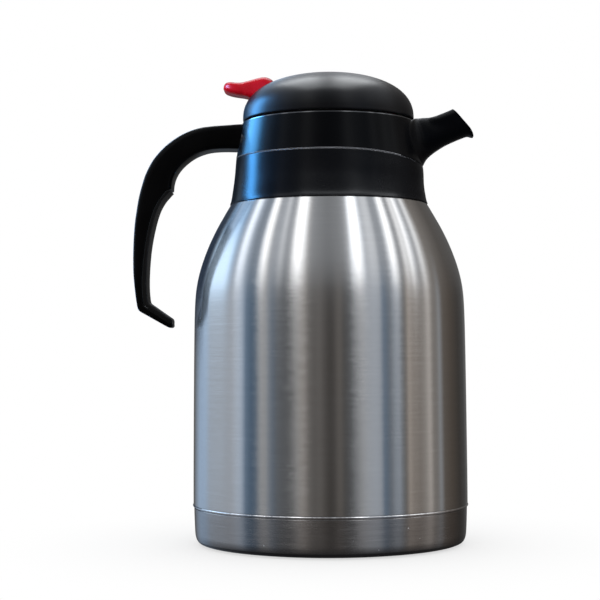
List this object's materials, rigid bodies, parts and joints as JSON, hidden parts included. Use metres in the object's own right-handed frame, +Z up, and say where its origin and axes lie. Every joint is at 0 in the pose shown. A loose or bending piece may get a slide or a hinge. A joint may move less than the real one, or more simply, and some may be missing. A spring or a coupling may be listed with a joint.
{
  "type": "thermal coffee jug",
  "caption": "Double-wall vacuum coffee jug with flared steel body, black collar and spout, open hook handle, domed lid and red thumb lever that lifts the pouring valve.",
  "frame": {"origin": "centre of the base on the surface the jug stands on", "axes": "+Z up along the jug's axis, +X towards the spout, -X towards the handle"},
  "size_m": [0.1874, 0.15, 0.2575],
  "materials": {
    "brushed_body": "fine horizontal brushing round the body",
    "base_steel": "darker brushed steel",
    "liner_steel": "plain drawn steel",
    "spring_steel": "drawn wire",
    "screw_steel": "plated",
    "solder": "dull bead",
    "getter_metal": "dull pressed pellet in a strip",
    "black_satin": "satin black",
    "black_cover": "fine matt black",
    "plug_plastic": "plain black",
    "white_plastic": "plain natural",
    "silicone": "milky silicone",
    "black_rubber": "matt",
    "red_gloss": "glossy red"
  },
  "bodies": {
    "flask": {"outer_shell": "brushed_body", "inner_liner": "liner_steel", "liner_bottom": "liner_steel", "vacuum_pan": "liner_steel", "seal_bead": "solder", "getter": "getter_metal", "base_cup": "base_steel", "foot_pad": "black_rubber", "collar": "black_satin", "neck_gasket": "silicone", "spout_ring": "black_satin", "handle": "black_satin", "handle_cover": "black_cover", "handle_screws": "screw_steel"},
    "lid_carrier": {"lid_o_ring": "silicone"},
    "lid": {"lid_plug": "plug_plastic", "plug_seal": "silicone", "lid_deck": "plug_plastic", "deck_screws": "screw_steel", "stem_seal": "silicone", "dome_cap": "black_satin", "return_spring": "spring_steel", "lever_pin": "screw_steel"},
    "lever": {"thumb_lever": "red_gloss"},
    "stem": {"valve_stem": "white_plastic", "valve_disc": "plug_plastic", "valve_washer": "silicone", "valve_cap": "plug_plastic"}
  },
  "joints": [
    {"name": "lid_lift", "type": "slide", "parent": "flask", "child": "lid_carrier", "axis": [0, 0, 1], "range_m": [0, 0.09]},
    {"name": "lid_turn", "type": "hinge", "parent": "lid_carrier", "child": "lid", "pos_m": [0, 0, 0.2305], "axis": [0, 0, 1], "range_deg": [0, 45]},
    {"name": "lever_press", "type": "hinge", "parent": "lid", "child": "lever", "pos_m": [-0.031, 0, 0.2438], "axis": [0, -1, 0], "range_deg": [0, 10]},
    {"name": "valve_lift", "type": "slide", "parent": "lid", "child": "stem", "axis": [0, 0, 1], "range_m": [0, 0.0056], "deforming": ["return_spring"]}
  ],
  "couplings": [
    {"joint": "valve_lift", "follows": "lever_press", "m_per_rad": 0.0317}
  ]
}
